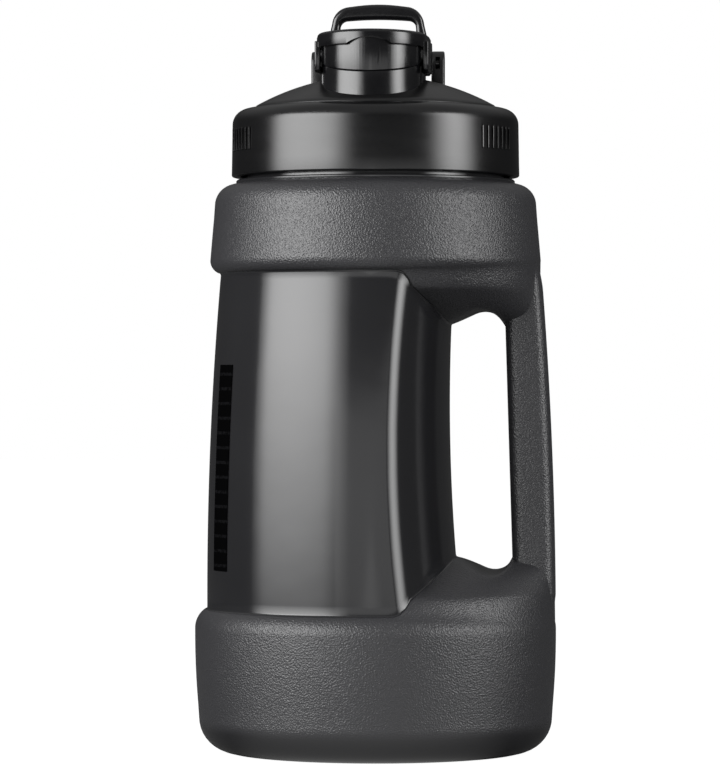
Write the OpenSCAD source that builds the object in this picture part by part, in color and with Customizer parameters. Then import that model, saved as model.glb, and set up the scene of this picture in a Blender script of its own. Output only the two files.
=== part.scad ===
// Large drinking jug with a moulded-in handle, a screw lid, a flip cap over the spout and a folding carry loop.
// Origin: centre of the base on the table. +Z up, the spout faces -Y, the handle is at +X. Millimetres.

/* [Jug body] */
// Largest radius, at the belly of the lower band
belly_r = 68.5; // [68:0.1:69]
// Wall thickness of the blown body
wall = 2.2; // [1.8:0.1:2.6]
// Height of the top of the lower band
lower_band_top = 55.5; // [54.5:0.5:56.5]
// Height of the bottom of the upper band
upper_band_bottom = 181; // [180:0.5:182]
// Height of the shoulder, where the neck starts
shoulder_z = 215; // [214.5:0.1:215.2]
// Radius of the smooth waist at its widest, just above the lower band
waist_r = 63.9; // [63.5:0.1:64.2]

/* [Handle] */
// Width of the handle bar, front to back
grip_w = 26; // [22:1:28]
// Height of the middle of the finger hole's top corner
hole_top_z = 158.5; // [157:0.5:160]
// Height of the middle of the finger hole's bottom corner
hole_bottom_z = 75.5; // [74:0.5:77]

/* [Neck and thread] */
// Outside radius of the neck, without its thread
neck_r = 48.8; // [48.6:0.1:49]
// Inside radius of the neck
mouth_r = 45.6; // [45:0.1:46]
// Height of the rim of the neck
rim_z = 238.8; // [238.4:0.1:238.9]
// Rise of the thread in one turn
lead = 6; // [5.6:0.2:6.4]
// Turns of thread on the neck
neck_turns = 1.5; // [1:0.25:1.5]

/* [Lid] */
// Outside radius of the lid's collar at its bottom edge
collar_r = 54.6; // [54.4:0.1:55]
// Height of the collar's bottom edge
collar_bottom = 217.8; // [217.6:0.1:218.2]
// Radius of the ball that the domed top is cut from
dome_ball = 93.4; // [92.8:0.2:94]
// Radius of the dome where it rises out of the collar
dome_r = 45.8; // [45.4:0.1:46]

/* [Spout and flip cap] */
// Distance from the lid's centre to the spout's axis
spout_offset = 24.5; // [24:0.1:25]
// Outside radius of the drinking spout
spout_r = 15.5; // [15:0.1:15.6]
// Inside radius of the drinking spout
spout_bore = 12.5; // [12.2:0.1:12.8]
// Outside radius of the cap's skirt
cap_r = 18.4; // [18.2:0.1:18.6]
// Height of the cap's flat top
cap_top = 270.3; // [270:0.1:270.6]
// Tilt of the parting line between the cap and its seat, in degrees
parting_tilt = 13; // [12:0.5:14]

/* [Carry loop] */
// Height of the loop's top
loop_top = 284.9; // [283:0.5:286]
// Depth of the loop, front to back
loop_depth = 7; // [6:0.5:7.5]
// Radius of the trunnions that the loop turns on
trunnion_r = 2.4; // [2.2:0.1:2.6]

/* [Volume scale] */
// Thickness of the printed strip
strip_t = 0.3; // [0.2:0.05:0.4]
// Height of the strip's lower end
strip_bottom = 69.4; // [66:0.2:72]
// Height of the strip's upper end
strip_top = 146.5; // [140:0.5:150]
// Half of the angle that the strip covers, in degrees
strip_half_angle = 5.5; // [5:0.5:6]

/* [Hidden] */
$fn = 96;

// Body outline
belly_z = 45;
envelope_bow = 1724;   // radius of the long curve that both bands and the handle's back share
foot_bow = 312;        // radius of the tighter curve from the belly down to the foot
foot_r = 54;           // where the flat foot ring ends and the corner starts
foot_corner = 13;      // corner radius at the foot
foot_ring_r = 50;      // inside of the flat foot ring
punt_depth = 5;        // how far the base is pushed up in the middle
lip_r = 8.5;           // rounding of the lower band's top edge
upper_lip_r = 5;       // rounding of the upper band's bottom edge
shoulder_r = 8;        // rounding of the shoulder
shoulder_x = 53;
waist_z = 60;
waist_bow = 1408;      // the waist gets narrower upwards along this curve
back_x = -85;          // axis that the flatter wall behind the handle is turned about
back_r = 113.2;
back_z = 132;
back_bow = 714;
core_bottom = 47;
core_top = 192;

// Handle
grip_gap = 0.25;       // the handle's back lies this far inside the bands' curve
root_top_z = 161;      // keel of the upper root, where it leaves the waist
root_top_rise = 27;    // height over which the upper root widens to the full body
root_top_r = 62.6;
root_bottom_z = 74;
root_bottom_rise = -26;
root_bottom_r = 68.2;
root_levels = [[0.01, 0.123], [0.08, 0.348], [0.2, 0.55], [0.35, 0.728],   // share of the rise, and width there
               [0.5, 0.869], [0.6, 0.908], [0.75, 0.945], [1, 1]];
root_fn = 40;
hole_top_x = 41;
hole_top_r = 8.5;
hole_bottom_x = 44.5;
hole_bottom_r = 7.5;
hole_slope_top = 27;   // slope of the finger hole's roof, in degrees
hole_slope_bottom = 28;
hole_reach = 26;

// Bead round the foot of the neck
bead_r = 52.9;
bead_h = 2.6;

// Thread
thread_start = 221.5;
thread_step = 10;      // degrees between two sections of a thread
thread_fade = 30;      // degrees over which a thread's end runs out
thread_base = 2.6;     // height of a thread at its root
thread_crest = 1.2;    // height of a thread at its crest
neck_crest_r = neck_r + 1.9;
collar_bore = neck_r + 2.5;
collar_crest_r = neck_r + 0.6;
collar_turns = 1;

// Lid
collar_shoulder = 6;
collar_draft = 0.3;
collar_top = 243.9;
collar_seat_z = 242.2; // underside of the collar's inward flange
dome_wall = 2.2;
dome_edge_z = 244.5;
dome_z = dome_edge_z - sqrt(dome_ball * dome_ball - dome_r * dome_r);
flange_r = 51;
flange_z = 240.6;
flange_t = 1.4;
seal_gap = 0.2;
mark_angles = [-66, 60];   // where the two groups of grip marks stand, in degrees from the front
mark_count = 7;
mark_pitch = 3.2;      // degrees between two grip marks
mark_proud = 0.4;
mark_z = 227;
mark_h = 8.5;
mark_w = 1;

// Spout and cap
seat_r = 18.4;
seat_top_r = 17.6;
seat_tube_r = 16.4;
seat_tube_bottom = 243.5;
seat_z = 242;
spout_top = 266;
parting_z = 255;       // height of the parting line at its front
parting_y = -43;
parting_gap = 0.15;
hinge_y = 2;
hinge_z = 263.5;
pin_r = 2;
pin_half = 21;
lug_in = 15.5;
lug_out = 18.9;
lug_r = 4;
arm_in = 19.2;
arm_out = 21.3;
arm_r = 6.5;
lip_cap_r = 19.8;
lip_z = 265;
cap_plate_z = 267.5;
cap_bore = 16.2;
cap_edge = 1.4;
thumb_w = 18.5;
thumb_h = 2.7;

// Loop and its brackets
loop_y = 18;
loop_z = 262.5;
loop_eye_r = 5;
loop_foot_x = 20.2;
loop_shoulder_x = 17.6;
loop_corner_r = 7;
loop_leg = 4.6;
loop_bar = 5.6;
loop_inner_r = 3;
bracket_in = 20.6;
bracket_out = 25.5;
bracket_r = 4.5;
bracket_cheek = 1.6;
trunnion_end = 25.2;
trunnion_gap = 0.08;

// Half of the outline of a figure turned about Z
function arc(cx, cz, r, from, to, n) =
    [for (i = [0:n]) let (a = from + (to - from) * i / n) [cx + r * cos(a), cz + r * sin(a)]];
function envelope(z) = belly_r - (z - belly_z) * (z - belly_z) / (2 * envelope_bow);
function belly(z) = belly_r - (z - belly_z) * (z - belly_z) / (2 * foot_bow);
function waist(z) = waist_r - (z - waist_z) * (z - waist_z) / (2 * waist_bow);
function back_wall(z) = back_r + (z - back_z) * (z - back_z) / (2 * back_bow);

// The bands of the body, drawn in by t all over
module lower_band(t) {
    rotate_extrude() polygon(concat(
        [[0, t]],
        arc(foot_r, foot_corner, foot_corner - t, -90, 0, 6),
        [for (z = [20 : 8 : 44]) [belly(z) - t, z]],
        arc(belly_r - lip_r, lower_band_top - lip_r, lip_r - t, 0, 90, 6),
        [[0, lower_band_top - t]]));
}

module upper_band(t) {
    bottom = upper_band_bottom + upper_lip_r;
    rotate_extrude() polygon(concat(
        [[0, upper_band_bottom + t]],
        arc(envelope(bottom) - upper_lip_r, bottom, upper_lip_r - t, -90, 0, 5),
        [for (z = [192 : 7 : 206]) [envelope(z) - t, z]],
        arc(shoulder_x, shoulder_z - shoulder_r, shoulder_r - t, 0, 90, 5),
        [[0, shoulder_z - t]]));
}

// The smooth waist: round at the front, flatter behind the handle
module waist_core(t) {
    intersection() {
        rotate_extrude() polygon(concat(
            [[0, core_bottom]],
            [for (z = [core_bottom : 14.5 : core_top]) [waist(z) - t, z]],
            [[0, core_top]]));
        translate([back_x, 0, 0]) rotate_extrude() polygon(concat(
            [[0, core_bottom - 1]],
            [for (z = [core_bottom - 1 : 21 : core_top + 1]) [back_wall(z) - t, z]],
            [[0, core_top + 1]]));
    }
}

module handle_envelope(t) {
    rotate_extrude() polygon(concat(
        [[0, 44]],
        [for (z = [44 : 19 : 196]) [envelope(z) - grip_gap - t, z]],
        [[0, 196]]));
}

// The finger hole's outline, seen from the front, grown by t
module finger_hole(t) {
    top_line = [-cos(hole_slope_top), -sin(hole_slope_top)] * hole_reach;
    bottom_line = [-cos(hole_slope_bottom), sin(hole_slope_bottom)] * hole_reach;
    top_arc = arc(hole_top_x, hole_top_z, hole_top_r + t, 90 + hole_slope_top, 0, 7);
    bottom_arc = arc(hole_bottom_x, hole_bottom_z, hole_bottom_r + t, 0, -90 - hole_slope_bottom, 7);
    rotate([90, 0, 0]) linear_extrude(160, center = true) polygon(concat(
        [top_arc[0] + top_line],
        top_arc,
        bottom_arc,
        [bottom_arc[7] + bottom_line]));
}

// A root of the handle: a keel that widens, in flat ovals, to the full body
module handle_root(z0, rise, r, t) {
    hull() for (level = root_levels)
        translate([0, 0, z0 + sign(rise) * t + rise * level[0]])
            scale([1, max(level[1] - t / r, 0.02), 1]) cylinder(r = r - t, h = 0.01, $fn = root_fn);
}

module handle_roots(t) {
    intersection() {
        handle_envelope(t);
        translate([0, -80, 0]) cube([80, 160, 250]);
        union() {
            handle_root(root_top_z, root_top_rise, root_top_r, t);
            handle_root(root_bottom_z, root_bottom_rise, root_bottom_r, t);
        }
    }
}

module handle_bar(t) {
    side = grip_w / 2 - t;
    intersection() {
        handle_envelope(t);
        translate([0, 0, 58]) linear_extrude(128) polygon([
            [30, -side], [63.5 - t, -side], [67.5 - t, 5 - side], [67.5 - t, side - 5],
            [63.5 - t, side], [30, side]]);
    }
}

module body_form(t) {
    lower_band(t);
    upper_band(t);
    waist_core(t);
    difference() {
        union() {
            handle_roots(t);
            handle_bar(t);
        }
        finger_hole(t);
    }
}

module punt(t) {
    ball = (foot_ring_r * foot_ring_r + punt_depth * punt_depth) / (2 * punt_depth);
    translate([0, 0, punt_depth - ball]) rotate_extrude()
        intersection() {
            circle(r = ball + t, $fn = 720);
            translate([0, ball - 3 * punt_depth]) square([foot_ring_r + t, 4 * punt_depth]);
        }
}

// A thread that climbs about Z: root and crest radii, its turns and the height where it starts
module thread(root, crest, turns, z0, first) {
    steps = round(turns * 360 / thread_step);
    function depth(i) = let (a = i * thread_step) min(1, a / thread_fade, (turns * 360 - a) / thread_fade);
    function section(i) =
        let (a = first + i * thread_step, z = z0 + lead * i * thread_step / 360,
             d = 0.02 + 0.98 * depth(i), r = root + (crest - root) * d,
             b = thread_base / 2, c = thread_crest / 2)
        [for (p = [[root, -b], [r, -c], [r, c], [root, b]]) [p[0] * cos(a), p[0] * sin(a), z + p[1]]];
    points = [for (i = [0 : steps]) each section(i)];
    outward = crest > root;
    sides = [for (i = [0 : steps - 1], k = [0 : 3])
        let (a = 4 * i + k, b = 4 * i + (k + 1) % 4)
        outward ? [a, b, b + 4, a + 4] : [a + 4, b + 4, b, a]];
    first_end = outward ? [3, 2, 1, 0] : [0, 1, 2, 3];
    last_end = [for (k = first_end) 4 * steps + 3 - k];
    polyhedron(points, concat([first_end], sides, [last_end]), convexity = 6);
}

// Height of the parting line between the cap and its seat at a given y
function parting(y) = parting_z + (y - parting_y) * tan(parting_tilt);

// Everything above the parting line, raised by gap
module above_parting(gap) {
    rotate([0, 90, 0]) linear_extrude(120, center = true) polygon([
        [-(parting(-80) + gap), -80], [-(parting(40) + gap), 40], [-320, 40], [-320, -80]]);
}

// Everything outside the dome's own surface
module dome_ball_cut() {
    translate([0, 0, dome_z]) sphere(r = dome_ball + 0.05, $fn = 240);
}

module jug_body() {
    color([0.23, 0.23, 0.24]) {
        difference() {
            union() {
                body_form(0);
                translate([0, 0, shoulder_z - 6]) cylinder(r = neck_r, h = rim_z - shoulder_z + 6);
                translate([0, 0, shoulder_z - 1]) cylinder(r = bead_r, h = bead_h);
            }
            difference() {
                body_form(wall);
                punt(wall);
            }
            punt(0);
            translate([0, 0, shoulder_z - 12]) cylinder(r = mouth_r, h = 40);
        }
        thread(neck_r - 0.8, neck_crest_r, neck_turns, thread_start, 0);
    }
}

module volume_scale_strip() {
    span = strip_top - strip_bottom;
    heights = [for (i = [0 : 5]) strip_bottom + span * i / 5];
    color([0.02, 0.02, 0.02])
        rotate([0, 0, 207.8 - strip_half_angle])
            rotate_extrude(angle = 2 * strip_half_angle) polygon(concat(
                [for (i = [0 : 5]) [waist(heights[i]) + 0.02, heights[i]]],
                [for (i = [5 : -1 : 0]) [waist(heights[i]) + 0.02 + strip_t, heights[i]]]));
}

module lid_collar() {
    shoulder_c = collar_top - 0.4 - collar_shoulder;
    color([0.05, 0.05, 0.055]) {
        rotate_extrude() polygon(concat(
            [[collar_bore, collar_bottom], [collar_r - 0.4, collar_bottom], [collar_r, collar_bottom + 0.4]],
            arc(collar_r - collar_draft - collar_shoulder, shoulder_c, collar_shoulder, 0, 90, 7),
            [[dome_r + 0.3, collar_top], [dome_r + 0.3, collar_seat_z], [collar_bore, collar_seat_z]]));
        thread(collar_bore + 0.8, collar_crest_r, collar_turns, thread_start + lead * 0.5, 0);
        for (m = mark_angles, i = [0 : mark_count - 1])
            rotate([0, 0, 270 + m + (i - (mark_count - 1) / 2) * mark_pitch])
                translate([collar_r - collar_draft - 1, -mark_w / 2, mark_z])
                    cube([1 + mark_proud, mark_w, mark_h]);
    }
}

module lid_dome() {
    inner = dome_ball - dome_wall;
    edge_in = dome_r - dome_wall;
    outer_from = acos(dome_r / dome_ball);
    inner_from = acos(edge_in / inner);
    color([0.05, 0.05, 0.055])
        difference() {
            union() {
                rotate_extrude() polygon(concat(
                    [[edge_in, flange_z], [flange_r, flange_z], [flange_r, flange_z + flange_t],
                     [dome_r, flange_z + flange_t]],
                    arc(0, dome_z, dome_ball, outer_from, 90, 10),
                    arc(0, dome_z, inner, 90, inner_from, 10)));
                for (s = [-1, 1]) loop_bracket(s);
            }
            translate([0, -spout_offset, 230]) cylinder(r = seat_tube_r + 0.05, h = 40);
            for (s = [-1, 1])
                translate([s * 30, loop_y, loop_z]) rotate([0, -s * 90, 0])
                    cylinder(r = trunnion_r + trunnion_gap, h = 12);
        }
}

// Two cheeks joined over the top, standing on the dome beside one leg of the loop
module loop_bracket(s) {
    slot = bracket_out - bracket_in - 2 * bracket_cheek;
    x0 = s > 0 ? bracket_in : -bracket_out;
    difference() {
        translate([x0, 0, 0]) {
            translate([0, loop_y - bracket_r, 251]) cube([bracket_out - bracket_in, 2 * bracket_r, loop_z - 251]);
            translate([0, loop_y, loop_z]) rotate([0, 90, 0])
                cylinder(r = bracket_r, h = bracket_out - bracket_in);
        }
        translate([x0 + bracket_cheek, loop_y - 10, 256]) cube([slot, 20, 8.6]);
    }
}

module lid_gasket() {
    color([0.12, 0.12, 0.12])
        rotate_extrude() polygon([
            [mouth_r - 0.4, rim_z + seal_gap], [neck_r + 1.4, rim_z + seal_gap],
            [neck_r + 1.4, flange_z - seal_gap], [mouth_r - 0.4, flange_z - seal_gap]]);
}

module spout_seat() {
    color([0.035, 0.035, 0.04])
        difference() {
            union() {
                difference() {
                    translate([0, -spout_offset, seat_z]) cylinder(r1 = seat_r, r2 = seat_top_r, h = 24);
                    above_parting(0);
                    dome_ball_cut();
                }
                translate([0, -spout_offset, seat_tube_bottom])
                    cylinder(r = seat_tube_r, h = 252 - seat_tube_bottom);
                translate([0, -spout_offset, 250]) cylinder(r = spout_r, h = spout_top - 250);
                for (s = [-1, 1]) hinge_lug(s);
            }
            translate([0, -spout_offset, 230]) cylinder(r = spout_bore, h = 50);
            translate([-25, hinge_y, hinge_z]) rotate([0, 90, 0]) cylinder(r = pin_r + 0.02, h = 50);
        }
}

module hinge_lug(s) {
    x0 = s > 0 ? lug_in : -lug_out;
    w = lug_out - lug_in;
    difference() {
        translate([x0, 0, 0]) {
            translate([0, hinge_y, hinge_z]) rotate([0, 90, 0]) cylinder(r = lug_r, h = w);
            translate([0, hinge_y - 9, 248]) cube([w, 9 + lug_r, hinge_z - 248]);
            translate([0, -22, 248]) cube([w, 20, 10.4]);
        }
        dome_ball_cut();
        translate([0, -spout_offset, 230]) cylinder(r = seat_tube_r - 0.4, h = 50);
    }
}

module flip_cap() {
    color([0.03, 0.03, 0.035])
        difference() {
            union() {
                intersection() {
                    translate([0, -spout_offset, 250]) cylinder(r = cap_r, h = cap_plate_z - 250);
                    above_parting(parting_gap);
                }
                cap_lip();
                cap_roof();
                for (s = [-1, 1]) cap_arm(s);
            }
            translate([0, -spout_offset, 240]) cylinder(r = cap_bore, h = cap_plate_z - 240);
            translate([-25, hinge_y, hinge_z]) rotate([0, 90, 0]) cylinder(r = pin_r + 0.08, h = 50);
            thumb_recess();
        }
}

module cap_lip() {
    translate([0, -spout_offset, 0]) rotate_extrude() polygon(concat(
        [[0, lip_z], [lip_cap_r - 0.4, lip_z], [lip_cap_r, lip_z + 0.4]],
        arc(lip_cap_r - cap_edge, cap_top - cap_edge, cap_edge, 0, 90, 4),
        [[0, cap_top]]));
}

// The roof that joins the lip to the two arms, with its shoulders rounded over
module cap_roof() {
    round_r = 3.4;
    right = arc(arm_out - round_r, cap_top - 0.1 - round_r, round_r, 0, 90, 5);
    left = arc(round_r - arm_out, cap_top - 0.1 - round_r, round_r, 90, 180, 5);
    translate([0, -4, 0]) rotate([90, 0, 0]) linear_extrude(23) polygon(concat(
        [[arm_out, 264], [arm_out, 265]], right, left,
        [[-arm_out, 265], [-arm_out, 264], [-arm_in, 264], [-arm_in, 266.4],
         [arm_in, 266.4], [arm_in, 264]]));
}

module cap_arm(s) {
    x0 = s > 0 ? arm_in : -arm_out;
    translate([x0, 0, 0]) rotate([90, 0, 90]) linear_extrude(arm_out - arm_in) polygon(concat(
        [[-27, 258], [-25.5, 256]],
        arc(hinge_y, hinge_z, arm_r, -100, 60, 9),
        [[-4, cap_top - 3.6], [-27, cap_top - 3.6]]));
}

// The arch under the front of the lip that a thumb pushes up
module thumb_recess() {
    rise = thumb_w * thumb_w / (8 * thumb_h) + thumb_h / 2;
    difference() {
        translate([0, -spout_offset - 10, lip_z + thumb_h - rise]) rotate([90, 0, 0])
            cylinder(r = rise, h = 14);
        translate([0, -spout_offset, 240]) cylinder(r = cap_r, h = 40);
        translate([-30, -60, 230]) cube([60, 60, lip_z - 230.5]);
    }
}

module cap_seal() {
    color([0.3, 0.3, 0.3])
        translate([0, -spout_offset, 0]) rotate_extrude() polygon([
            [0, spout_top + 0.1], [spout_bore - 2.4, spout_top + 0.1], [spout_bore - 2.4, spout_top - 2.6],
            [spout_bore - 0.9, spout_top - 2.6], [spout_bore - 0.7, spout_top + 0.1],
            [cap_bore - 0.4, spout_top + 0.1], [cap_bore - 0.4, cap_plate_z - 0.05], [0, cap_plate_z - 0.05]]);
}

module cap_hinge_pin() {
    color([0.7, 0.7, 0.72])
        translate([-pin_half, hinge_y, hinge_z]) rotate([0, 90, 0]) cylinder(r = pin_r, h = 2 * pin_half);
}

module carry_loop() {
    crown = 0.9;
    corner_z = loop_top - crown - loop_corner_r;
    inner_top = loop_top - loop_bar;
    inner_x = loop_shoulder_x - loop_leg + 1.6;
    half_out = concat(
        [[loop_foot_x, loop_z - 0.01], [loop_foot_x, loop_z + 5]],
        arc(loop_shoulder_x - loop_corner_r, corner_z, loop_corner_r, 5, 84, 7));
    half_in = concat(
        arc(inner_x - loop_inner_r, inner_top - loop_inner_r, loop_inner_r, 90, 4, 4),
        [[loop_foot_x - loop_leg, loop_z - 0.01]]);
    function mirrored(pts) = [for (i = [len(pts) - 1 : -1 : 0]) [-pts[i][0], pts[i][1]]];
    color([0.03, 0.03, 0.035]) {
        translate([0, loop_y + loop_depth / 2, 0]) rotate([90, 0, 0]) linear_extrude(loop_depth)
            polygon(concat(half_out, [[0, loop_top]], mirrored(half_out), mirrored(half_in), half_in));
        for (s = [-1, 1])
            translate([s * (loop_foot_x - loop_leg), loop_y, loop_z]) rotate([0, s * 90, 0]) {
                cylinder(r = loop_eye_r, h = loop_leg);
                cylinder(r = trunnion_r, h = trunnion_end - loop_foot_x + loop_leg);
            }
    }
}

jug_body();
volume_scale_strip();
lid_collar();
lid_dome();
lid_gasket();
spout_seat();
flip_cap();
cap_seal();
cap_hinge_pin();
carry_loop();
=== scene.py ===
"""Large drinking jug with a moulded-in handle, a screw lid, a flip cap and a folding carry loop."""
import math

import bmesh
import bpy
from bpy.props import FloatProperty, FloatVectorProperty, IntProperty, PointerProperty
from mathutils import Matrix, Vector


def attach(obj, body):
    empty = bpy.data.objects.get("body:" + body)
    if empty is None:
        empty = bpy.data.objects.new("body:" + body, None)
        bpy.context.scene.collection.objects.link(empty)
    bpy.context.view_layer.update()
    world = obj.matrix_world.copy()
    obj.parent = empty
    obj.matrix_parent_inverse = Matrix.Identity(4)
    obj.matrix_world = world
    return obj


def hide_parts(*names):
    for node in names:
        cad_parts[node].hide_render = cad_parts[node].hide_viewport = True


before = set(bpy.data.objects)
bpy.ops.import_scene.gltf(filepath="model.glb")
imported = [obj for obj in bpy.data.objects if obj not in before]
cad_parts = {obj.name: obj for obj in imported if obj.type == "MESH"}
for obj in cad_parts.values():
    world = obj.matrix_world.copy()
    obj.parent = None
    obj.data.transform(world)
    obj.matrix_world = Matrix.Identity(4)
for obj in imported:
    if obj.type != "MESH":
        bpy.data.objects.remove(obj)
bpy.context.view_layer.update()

bl_info = {
    "name": "Drinking Jug",
    "version": (1, 0, 0),
    "blender": (4, 5, 0),
    "location": "View3D > Sidebar > Jug",
    "description": "Builds a large drinking jug with a screw lid, flip cap and carry loop",
    "category": "Add Mesh",
}

MM = 0.001            # pieces are drawn in millimetres and scaled when they are finished
FULL_TURN = 2 * math.pi

# Body: heights, radii and the radii of its long curves
BELLY_Z = 45
BAND_BOW = 1724       # long curve shared by both bands and the back of the handle
FOOT_BOW = 312
FOOT_RADIUS = 54
FOOT_CORNER = 13
FOOT_RING = 50
PUNT = 5
LIP = 8.5
LIP_Z = 47
UPPER_LIP = 5
UPPER_LIP_Z = 186
SHOULDER = 8
SHOULDER_X = 53
SHOULDER_Z = 207
WAIST_Z = 60
WAIST_BOW = 1408
BACK_X = -85          # axis of the flatter wall behind the handle
BACK_RADIUS = 113.2
BACK_Z = 132
BACK_BOW = 714
CORNER_BLEND = 6      # how softly the round front turns into the flatter wall
WAIST_FILLET = 1.0
NECK = 48.8
MOUTH = 45.6
RIM_Z = 238.8
LEAD = 6              # rise of the screw thread in one turn
NECK_THREAD = 1.9     # how far the thread stands out from the neck

# Handle
GRIP_BOTTOM = 52
GRIP_TOP = 186
GRIP_HOLLOW = (60, 176)
# Round ends of the finger hole: x, z, radius and slope of the edge beside it
HOLE_TOP = (41, 158.5, 8.5, math.radians(27))
HOLE_BOTTOM = (44.5, 75.5, 7.5, math.radians(28))
# Roots of the handle: height at the middle, rise to the side and radius of the ridge
ROOT_TOP = (161, 27, 62.6)
ROOT_BOTTOM = (74, -26, 68.2)
GRIP_SQUARENESS = 4.4

# Lid
DOME_BALL = 93.4
DOME_RADIUS = 45.8
DOME_EDGE_Z = 244.5
DOME_Z = DOME_EDGE_Z - math.sqrt(DOME_BALL ** 2 - DOME_RADIUS ** 2)
COLLAR_BOTTOM = 217.8
MARK_ANGLES = (-66, 60)
MARK_COUNT = 7
MARK_PITCH = 3.2      # degrees from one mark to the next
SPOUT_Y = -24.5
PARTING_Z = 255
PARTING_Y = -43
PARTING_TILT = math.radians(13)
CAP_GAP = 0.15        # between the cap and its seat
CAP_EDGE_Z = 265
SEAT_HOLE = 16.45
HINGE = (2, 263.5)    # y and z of the cap's pin
RECESS_RADIUS = 15.6
RECESS_DEPTH = 2.9
LOOP_HINGE = (18, 262.5)
LOOP_TOP = 284.9
LOOP_UNDERSIDE = 279.3
LOOP_FOOT = 20.2      # half the width across the loop's eyes
LOOP_LEG = 4.6
TRUNNION = 2.4
BRACKET_IN = 20.6
BRACKET_WIDTH = 4.9
BRACKET_CHEEK = 1.6

# Printed strip
STRIP_ANGLE = 207.8
STRIP_BOTTOM = 69.4
STRIP_TOP = 146.5
STRIP_HALF = 5.5      # in degrees round the waist

# Stage, in metres and degrees
LIGHT_DISTANCE = 0.8
CAMERA_DISTANCE = 1.583
CAMERA_HEIGHT = 0.1393
CAMERA_TURN = 3.3
CAMERA_SHIFT = 0.0059
CAMERA_LENS = 195.3


# ---------------------------------------------------------------- settings

class JugSizes(bpy.types.PropertyGroup):
    belly_radius: FloatProperty(
        name="Belly radius", description="Largest radius, at the belly of the lower band",
        default=0.0685, min=0.068, max=0.069, unit="LENGTH", precision=4)
    waist_radius: FloatProperty(
        name="Waist radius", description="Radius of the smooth waist just above the lower band",
        default=0.0639, min=0.0635, max=0.0642, unit="LENGTH", precision=4)
    wall: FloatProperty(
        name="Wall", description="Thickness of the blown body's wall",
        default=0.0022, min=0.0018, max=0.0026, unit="LENGTH", precision=4)
    grip_width: FloatProperty(
        name="Grip width", description="Width of the handle, front to back",
        default=0.026, min=0.022, max=0.028, unit="LENGTH", precision=4)
    collar_radius: FloatProperty(
        name="Collar radius", description="Outside radius of the lid's collar at its bottom edge",
        default=0.0546, min=0.0544, max=0.055, unit="LENGTH", precision=4)
    loop_depth: FloatProperty(
        name="Loop depth", description="Depth of the carry loop, front to back",
        default=0.007, min=0.006, max=0.0075, unit="LENGTH", precision=4)
    strip_thickness: FloatProperty(
        name="Strip thickness", description="Thickness of the printed volume strip",
        default=0.0003, min=0.0002, max=0.0004, unit="LENGTH", precision=5)
    steps_around: IntProperty(
        name="Steps around", description="Sections round the body", default=200, min=96, max=280)


class JugFinish(bpy.types.PropertyGroup):
    body_color: FloatVectorProperty(
        name="Body", description="Colour of the blown body", subtype="COLOR", size=3,
        min=0, max=1, default=(0.0115, 0.0115, 0.0125))
    lid_color: FloatVectorProperty(
        name="Lid", description="Colour of the satin lid", subtype="COLOR", size=3,
        min=0, max=1, default=(0.0014, 0.0014, 0.0016))
    cap_color: FloatVectorProperty(
        name="Cap", description="Colour of the glossy cap, seat and loop", subtype="COLOR", size=3,
        min=0, max=1, default=(0.0025, 0.0025, 0.003))
    silicone_color: FloatVectorProperty(
        name="Silicone", description="Colour of the gasket and the spout's plug", subtype="COLOR",
        size=3, min=0, max=1, default=(0.16, 0.16, 0.165))
    grain_size: FloatProperty(
        name="Grain", description="Size of the pebbles of the moulded grain",
        default=0.00068, min=0.0005, max=0.0024, unit="LENGTH", precision=5)
    grain_height: FloatProperty(
        name="Grain height", description="Height of the moulded grain",
        default=0.00023, min=0, max=0.001, unit="LENGTH", precision=5)


class JugStudio(bpy.types.PropertyGroup):
    left_power: FloatProperty(
        name="Left light", description="Power of the wide light on the left", default=20, min=0)
    right_power: FloatProperty(
        name="Right light", description="Power of the narrow light on the right", default=12, min=0)
    front_power: FloatProperty(
        name="Front light", description="Power of the low fill light in front", default=0.85, min=0)
    floor_color: FloatVectorProperty(
        name="Floor", description="Colour of the plain pale floor", subtype="COLOR", size=3,
        min=0, max=1, default=(0.1, 0.1, 0.1))


# ---------------------------------------------------------------- numbers and outlines

def soft_min(a, b, k):
    """The smaller of two values, with the corner between them rounded over k."""
    if k <= 0:
        return min(a, b)
    h = max(k - abs(a - b), 0) / k
    return min(a, b) - h * h * k / 4


def soft_max(a, b, k):
    return -soft_min(-a, -b, k)


def blend(a, b, share):
    return a + (b - a) * share


def ease(value, low, high):
    """0 below low, 1 above high, and a smooth rise between them."""
    share = min(max((value - low) / (high - low), 0), 1)
    return share * share * (3 - 2 * share)


def arc(cx, cy, radius, start, end, count):
    """Points on an arc, with angles in degrees."""
    turns = [math.radians(blend(start, end, i / count)) for i in range(count + 1)]
    return [(cx + radius * math.cos(a), cy + radius * math.sin(a)) for a in turns]


def rounded(corners, steps=4):
    """A closed outline whose corners, given as (a, b, radius), are rounded over."""
    points = []
    for i, (a, b, radius) in enumerate(corners):
        here = Vector((a, b))
        before = Vector(corners[i - 1][:2])
        after = Vector(corners[(i + 1) % len(corners)][:2])
        if radius <= 0:
            points.append(tuple(here))
            continue
        start = here + (before - here).normalized() * radius
        end = here + (after - here).normalized() * radius
        for k in range(steps + 1):
            t = k / steps
            points.append(tuple(start * (1 - t) ** 2 + here * 2 * t * (1 - t) + end * t * t))
    return points


# ---------------------------------------------------------------- solids

def tidy(bm):
    """Merges seams and poles and turns every face outwards."""
    bmesh.ops.remove_doubles(bm, verts=bm.verts, dist=0.002)
    bmesh.ops.dissolve_degenerate(bm, edges=bm.edges, dist=0.0005)
    bmesh.ops.recalc_face_normals(bm, faces=bm.faces)
    return bm


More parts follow.
